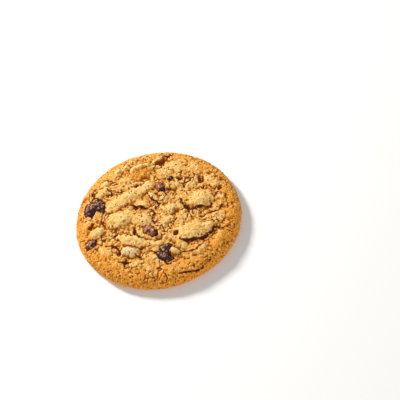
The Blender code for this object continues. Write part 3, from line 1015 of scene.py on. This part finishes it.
def chocolate_material():
    """Chocolate: dark and satin, with dusty bloom and a painted pink sheen on faces towards the key
    light.
    """
    material, w, shader = principled("chocolate", 0.42)
    shader["Specular IOR Level"].default_value = 0.35
    place = w.node("ShaderNodeTexCoord").outputs["Object"]
    normal = w.node("ShaderNodeNewGeometry").outputs["Normal"]
    # Painted sheen: lighter pink where the chocolate faces the key light, broken up by dusty bloom.
    facing = w.vector("DOT_PRODUCT", normal, SHEEN_SIDE)
    dust = w.noise(place, 1.8 * MM, 4.0, 0.65)
    lit = w.plus(facing, w.times(w.minus(dust, 0.5), 2.4))
    own = w.minus(read_attribute(w, "bloom_and_sheen"), 0.5)
    lit = w.plus(lit, w.times(own, 0.9))
    bloom_and_sheen = w.ramp(lit, 0.45, 1.15)
    colour = w.mix(w.times(bloom_and_sheen, 0.85), CHOCOLATE_COLOUR, BLOOM_AND_SHEEN_COLOUR)
    w.feed(shader["Base Color"], colour)
    w.feed(shader["Roughness"], w.ramp(dust, 0.3, 0.7, 0.34, 0.56))
    w.feed(shader["Normal"], bump(w, w.noise(place, 0.5 * MM, 3.0, 0.6), 0.14 * MM, 0.8))
    return material


def floor_material():
    """Plain pale floor."""
    material, _, shader = principled("floor", 0.6)
    shader["Base Color"].default_value = (0.93, 0.93, 0.93, 1.0)
    return material


# ---------------------------------------------------------------- stage

def make_stage():
    """Floor, soft light and world."""
    mesh = bpy.data.meshes.new("floor")
    half = FLOOR_HALF_WIDTH
    corners = [(-half, -half, 0.0), (half, -half, 0.0), (half, half, 0.0), (-half, half, 0.0)]
    mesh.from_pydata(corners, [], [(0, 1, 2, 3)])
    mesh.materials.append(floor_material())
    add_object("floor", mesh)
    world = bpy.data.worlds.new("studio")
    bpy.context.scene.world = world
    world.use_nodes = True
    background = world.node_tree.nodes["Background"]
    background.inputs["Color"].default_value = (1.0, 1.0, 1.0, 1.0)
    background.inputs["Strength"].default_value = WORLD_STRENGTH
    for name, light in LIGHTS.items():
        add_light(name, *light)
    bpy.context.scene.view_settings.view_transform = "Standard"


def add_light(name, direction, distance, width, power, colour):
    """An area light that looks at the cookie from a direction."""
    light = bpy.data.lights.new(name, "AREA")
    light.shape = "DISK"
    light.size = width
    light.energy = power
    light.color = colour
    item = bpy.data.objects.new(name, light)
    bpy.context.scene.collection.objects.link(item)
    way = Vector(direction).normalized()
    item.location = way * distance
    item.rotation_euler = way.to_track_quat("Z", "Y").to_euler()


def make_camera():
    """Camera that looks down at the cookie, a little turned about its own axis."""
    camera = bpy.data.cameras.new("camera")
    camera.lens = CAMERA_LENS
    item = bpy.data.objects.new("camera", camera)
    bpy.context.scene.collection.objects.link(item)
    elevation = math.radians(CAMERA_ELEVATION)
    roll = math.radians(CAMERA_ROLL)
    forward = Vector((0.0, math.cos(elevation), -math.sin(elevation)))
    level = Vector((1.0, 0.0, 0.0))
    steep = Vector((0.0, math.sin(elevation), math.cos(elevation)))
    right = math.cos(roll) * level - math.sin(roll) * steep
    up = math.sin(roll) * level + math.cos(roll) * steep
    half_view = 0.5 * camera.sensor_width / CAMERA_LENS
    distance = COOKIE_RADIUS / COOKIE_SHARE_OF_VIEW / half_view
    across = COOKIE_PLACE_IN_VIEW[0] * half_view
    above = COOKIE_PLACE_IN_VIEW[1] * half_view
    middle = Vector((0.0, 0.0, 5.0 * MM))
    eye = middle - (forward + across * right + above * up) * distance
    turned = Matrix((right, up, -forward)).transposed().to_4x4()
    item.matrix_world = Matrix.Translation(eye) @ turned
    camera.clip_start = 0.01
    bpy.context.scene.camera = item


# ---------------------------------------------------------------- the cookie

def main():
    make_camera()
    make_stage()
    baked = baked_colour_group()
    skin = dough_material(baked)
    chocolate = chocolate_material()

    blank = dough_blank()
    lines = crack_lines()
    dough = run_geometry_tree(blank, dough_relief_tree(), {"Crack Lines": lines, "Skin": skin})
    bpy.data.objects.remove(lines, do_unlink=True)
    dough.name = "baked_dough"

    relief = chip_relief_tree()
    chips = []
    for name, bloom_and_sheen in CHIP_BLOOM_AND_SHEEN.items():
        chip = run_geometry_tree(even_copy(name), relief, {"Chocolate": chocolate, "Bloom": bloom_and_sheen})
        chip.name = name + "_chocolate"
        chips.append((name, chip))
    bits = run_geometry_tree(bit_shapes(), relief, {
        "Chocolate": chocolate, "Face Depth": 0.4 * MM, "Dent Depth": 0.6 * MM})
    sink_pockets(dough, [chip for _, chip in chips])

    strew = crumb_tree()
    crumb_skin = crumb_material(baked)
    crumbs = add_object("crumbs", dough.data.copy())
    crumbs = run_geometry_tree(crumbs, strew, {"Skin": crumb_skin})
    chip_tops = joined_mesh("chip_tops", [chip for _, chip in chips] + [bits])
    chip_crumbs = add_object("chip_crumbs", chip_tops)
    chip_crumbs = run_geometry_tree(chip_crumbs, strew, {
        "Skin": crumb_skin, "Density": 220000.0,
        "Smallest": 0.18 * MM, "Largest": 0.75 * MM, "Seed": 11})

    for item in [dough, bits, crumbs, chip_crumbs] + [chip for _, chip in chips]:
        item.data.shade_smooth()
        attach(item, "root")
    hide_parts("dough")
    for name, chip in chips:
        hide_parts(name)


main()
